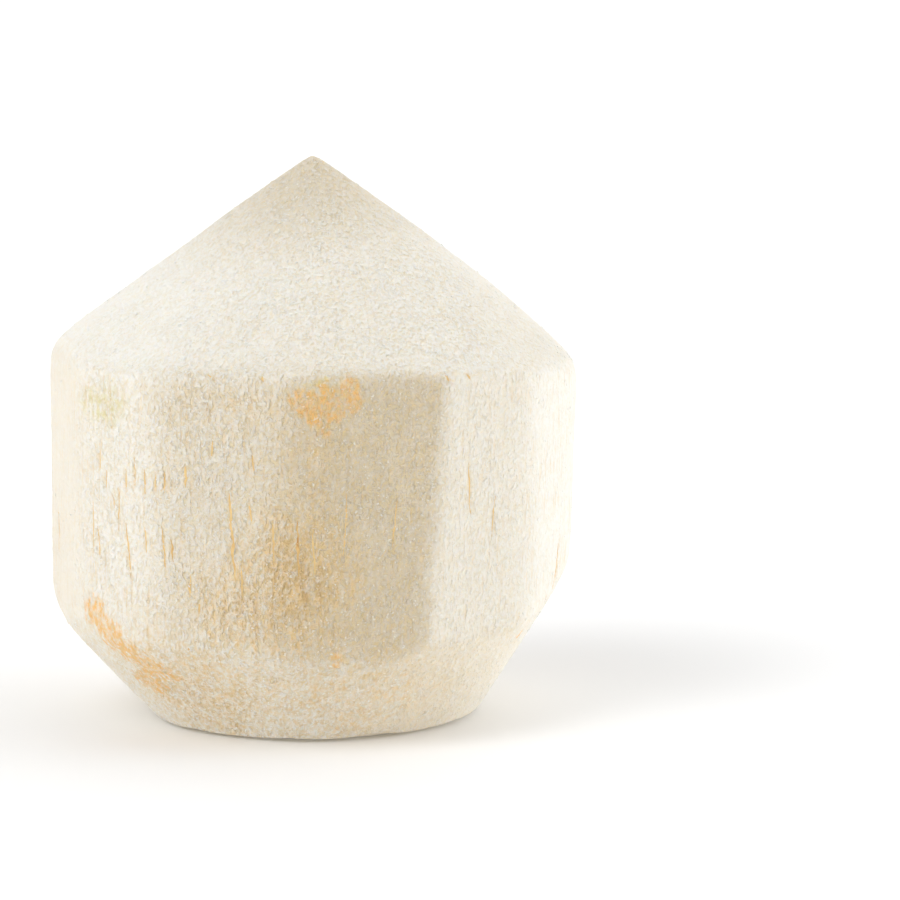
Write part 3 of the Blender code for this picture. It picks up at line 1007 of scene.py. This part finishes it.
def fields_of(tree):
    """The outputs of the attributes that the husk's points carry."""
    names = ("crumbly", "fibrous", "stain", "green", "tan", "warm")
    return {name: add_node(tree, "ShaderNodeAttribute", attribute_name=name).outputs["Fac"] for name in names}


def husk_material(settings):
    """Cut husk: pebbles, pits and fibre lines give one height for the bump, and tint their places.

    Lows and lower right sides of the grains get painted warm shade, and their tops a painted highlight.
    """
    material, tree, shader = new_material("cut husk")
    field = fields_of(tree)
    grain = math_node(tree, "MULTIPLY_ADD", field["crumbly"], 0.8, 0.2)
    grain = math_node(tree, "MULTIPLY_ADD", field["warm"], 0.6, grain)
    pebbles = grain_noise(tree, *PEBBLES)
    # Painted warm shade: where the pebbles rise towards the upper left, the grain's lower right side is tinted yellow
    beyond = grain_noise(tree, *PEBBLES, PAINTED_SHADE_SHIFT)
    painted_shade = times(tree, ramp(tree, math_node(tree, "SUBTRACT", beyond, pebbles), 0.0, PAINTED_SHADE_RISE), grain)
    clumps = ramp(tree, grain_noise(tree, *CLUMPS), 0.30, 0.60)
    density = times(tree, math_node(tree, "MULTIPLY_ADD", clumps, 0.6, 0.4), grain)
    # Painted highlight: the tops of the grains are lighter
    raised = times(tree, ramp(tree, pebbles, 0.51, 0.62), grain)
    # Painted shade: the lows between the grains are tinted warmer and darker
    painted_hollow_shade = times(tree, ramp(tree, pebbles, 0.49, 0.34), grain)
    # Pits: carved into the bump and tinted a tan that is partly their own colour and partly painted warm shade
    pits = times(tree, ramp(tree, grain_noise(tree, *PITS), 0.47, 0.37), density)
    lines = ramp(tree, grain_noise(tree, *LINES), 0.43, 0.34)
    lines = times(tree, lines, times(tree, clumps, field["fibrous"]))
    height = times(tree, pebbles, grain)
    height = math_node(tree, "MULTIPLY_ADD", pits, CARVING, height)
    height = math_node(tree, "MULTIPLY_ADD", lines, CARVING, height)
    base = husk_colour(tree, settings, field, grain_noise(tree, *FLECKS))
    base = mix_colours(tree, times(tree, raised, PAINTED_HIGHLIGHT_TINT), base, colour(settings.pith_and_highlight))
    # Colour of the pits and of the painted shade, browner where the husk is warm
    deep = mix_colours(tree, times(tree, field["warm"], 0.5), colour(settings.pit_and_shade), colour(settings.split))
    # Tan of the pits, partly painted shade, with the painted shade of the lows and of the lower right sides
    hollow = math_node(tree, "MAXIMUM", times(tree, pits, PIT_TINT), times(tree, painted_hollow_shade, HOLLOW_SHADE_TINT))
    hollow = math_node(tree, "MAXIMUM", hollow, times(tree, painted_shade, PAINTED_SHADE_TINT))
    base = mix_colours(tree, hollow, base, deep)
    base = mix_colours(tree, times(tree, lines, LINE_TINT), base, colour(settings.warm))
    tree.links.new(base, shader.inputs["Base Color"])
    inputs = {"Height": height, "Strength": 1.0, "Distance": settings.bump_depth}
    tree.links.new(add_node(tree, "ShaderNodeBump", inputs).outputs[0], shader.inputs["Normal"])
    set_finish(shader, settings)
    return material


def crumb_material(settings):
    """Loose pith: the husk's own colour, paler the drier the crumb is."""
    material, tree, shader = new_material("loose pith")
    field = fields_of(tree)
    dry = add_node(tree, "ShaderNodeAttribute", attribute_name="dry").outputs["Fac"]
    base = husk_colour(tree, settings, field, grain_noise(tree, *CRUMB_FLECKS))
    base = mix_colours(tree, times(tree, dry, 0.5), base, colour(settings.pith_and_highlight))
    tree.links.new(base, shader.inputs["Base Color"])
    set_finish(shader, settings)
    return material


def split_material(settings):
    """The floor of a split: from the warm fibre's colour to a brown that is partly the fibre's, partly painted shade.
    """
    material, tree, shader = new_material("split floor")
    brown = add_node(tree, "ShaderNodeAttribute", attribute_name="split").outputs["Fac"]
    patchy = times(tree, times(tree, brown, brown), ramp(tree, grain_noise(tree, *SPLIT_PATCHES), 0.3, 0.65))
    base = mix_colours(tree, patchy, colour(settings.warm), colour(settings.split))
    tree.links.new(base, shader.inputs["Base Color"])
    set_finish(shader, settings)
    return material


MATERIALS = {"cut husk": husk_material, "loose pith": crumb_material, "split floor": split_material}


def get_material(name, settings):
    """A material by its name, made once and shared by the pieces."""
    return bpy.data.materials.get(name) or MATERIALS[name](settings)


# Stage


def make_floor(settings):
    """A wide flat sweep just under the base, as one face of the plane z = constant.

    It gives off light that the camera doesn't see: its emission is the glow less the glow for camera rays.
    """
    mesh = bpy.data.meshes.new("sweep")
    corners = ((-1, -1), (1, -1), (1, 1), (-1, 1))
    mesh.from_pydata([(FLOOR_HALF * x, FLOOR_HALF * y, -FLOOR_DROP) for x, y in corners], [], [(0, 1, 2, 3)])
    material, tree, shader = new_material("white sweep")
    shader.inputs["Base Color"].default_value = colour(settings.floor_colour)
    shader.inputs["Roughness"].default_value = 1.0
    shader.inputs["Specular IOR Level"].default_value = 0.0
    shader.inputs["Emission Color"].default_value = WHITE
    seen = add_node(tree, "ShaderNodeLightPath").outputs["Is Camera Ray"]
    glow = math_node(tree, "MULTIPLY_ADD", seen, -settings.floor_glow, settings.floor_glow)
    tree.links.new(glow, shader.inputs["Emission Strength"])
    mesh.materials.append(material)
    floor = bpy.data.objects.new("sweep", mesh)
    bpy.context.collection.objects.link(floor)


def make_tent(scene, settings):
    """The world as soft lights: each lobe is strength * exp(tightness * (cosine to its middle - 1))."""
    world = bpy.data.worlds.new("light tent")
    world.use_nodes = True
    tree = world.node_tree
    background = tree.nodes["Background"]
    output = tree.nodes["World Output"]
    place = add_node(tree, "ShaderNodeTexCoord").outputs["Generated"]
    total = settings.fill_light
    for name, turn, up, tightness in LIGHTS:
        turn, up = math.radians(turn), math.radians(up)
        middle = (math.cos(up) * math.sin(turn), -math.cos(up) * math.cos(turn), math.sin(up))
        dot = add_node(tree, "ShaderNodeVectorMath", {0: place, 1: middle}, operation="DOT_PRODUCT")
        falloff = math_node(tree, "MULTIPLY_ADD", dot.outputs["Value"], tightness, -tightness)
        falloff = math_node(tree, "EXPONENT", falloff)
        total = math_node(tree, "MULTIPLY_ADD", falloff, getattr(settings, name), total)
    tree.links.new(total, background.inputs["Strength"])
    background.inputs["Color"].default_value = WHITE
    backdrop = add_node(tree, "ShaderNodeBackground", {"Color": WHITE, "Strength": BACKDROP})
    seen = add_node(tree, "ShaderNodeLightPath").outputs["Is Camera Ray"]
    choice = add_node(tree, "ShaderNodeMixShader", {0: seen, 1: background.outputs[0], 2: backdrop.outputs[0]})
    tree.links.new(choice.outputs[0], output.inputs["Surface"])
    scene.world = world


def make_camera(scene, settings):
    """A long lens in front of the fruit, a little above it and looking slightly down."""
    data = bpy.data.cameras.new("camera")
    data.lens = settings.lens
    data.sensor_width = SENSOR_WIDTH
    data.clip_end = 100.0
    camera = bpy.data.objects.new("camera", data)
    camera.location = CAMERA_PLACE
    camera.rotation_euler = (math.radians(90 - CAMERA_PITCH), 0.0, 0.0)
    bpy.context.collection.objects.link(camera)
    scene.camera = camera


# Operators


class COCONUT_OT_husk(bpy.types.Operator):
    """Make the pared husk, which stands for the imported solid."""

    bl_idname = "coconut.husk"
    bl_label = "Pare the husk"

    def execute(self, context):
        settings = context.scene.coconut.husk
        points, faces, fields = husk_mesh(settings)
        husk = make_piece("husk", points, faces, fields, get_material("cut husk", settings))
        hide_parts(NODE)
        return {"FINISHED"}


class COCONUT_OT_crumbs(bpy.types.Operator):
    """Scatter the crumbs of pith over the crown, the walls and the heel."""

    bl_idname = "coconut.crumbs"
    bl_label = "Scatter the crumbs"

    def execute(self, context):
        settings = context.scene.coconut
        bands = (("crown", 0.02, 1.0), ("wall", 1.0, 2.0), ("heel", 2.0, 2.97))
        for step, (band, low, high) in enumerate(bands):
            count = settings.scatter.crumbs if band != "heel" else settings.scatter.crumbs // 2
            points, faces, fields = crumb_mesh(count, settings.scatter.seed + step, low, high, settings.husk)
            piece = make_piece(f"{band}_crumbs", points, faces, fields, get_material("loose pith", settings.husk))
            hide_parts(NODE)
        return {"FINISHED"}


class COCONUT_OT_splits(bpy.types.Operator):
    """Open the splits along the fibre of the walls."""

    bl_idname = "coconut.splits"
    bl_label = "Open the splits"

    def execute(self, context):
        settings = context.scene.coconut
        points, faces, fields = split_mesh(settings)
        piece = make_piece("splits", points, faces, fields, get_material("split floor", settings.husk), smooth=False)
        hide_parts(NODE)
        return {"FINISHED"}


class COCONUT_OT_stage(bpy.types.Operator):
    """Set the white sweep, the light tent and the camera."""

    bl_idname = "coconut.stage"
    bl_label = "Set the stage"

    def execute(self, context):
        settings = context.scene.coconut.stage
        make_floor(settings)
        make_tent(context.scene, settings)
        make_camera(context.scene, settings)
        context.scene.view_settings.view_transform = "Standard"
        return {"FINISHED"}


class COCONUT_PT_sidebar(bpy.types.Panel):
    """The coconut's settings and operators, in the 3D view's sidebar."""

    bl_idname = "COCONUT_PT_sidebar"
    bl_label = "Young Coconut"
    bl_space_type = "VIEW_3D"
    bl_region_type = "UI"
    bl_category = "Coconut"

    def draw(self, context):
        settings = context.scene.coconut
        for group in (settings.husk, settings.scatter, settings.stage):
            box = self.layout.box()
            for name in group.bl_rna.properties.keys():
                if name not in ("rna_type", "name"):
                    box.prop(group, name)
        for operator in OPERATORS:
            self.layout.operator(operator.bl_idname)


SETTINGS = (HuskSettings, ScatterSettings, StageSettings, CoconutSettings)
OPERATORS = (COCONUT_OT_husk, COCONUT_OT_splits, COCONUT_OT_crumbs, COCONUT_OT_stage)


def register():
    """Register the settings, operators and panel."""
    for item in (*SETTINGS, *OPERATORS, COCONUT_PT_sidebar):
        bpy.utils.register_class(item)
    bpy.types.Scene.coconut = bpy.props.PointerProperty(type=CoconutSettings)


def unregister():
    """Remove the settings, operators and panel."""
    del bpy.types.Scene.coconut
    for item in reversed((*SETTINGS, *OPERATORS, COCONUT_PT_sidebar)):
        bpy.utils.unregister_class(item)


def main():
    """Make every piece in order."""
    register()
    bpy.ops.coconut.husk()
    bpy.ops.coconut.splits()
    bpy.ops.coconut.crumbs()
    bpy.ops.coconut.stage()


if __name__ == "__main__":
    main()
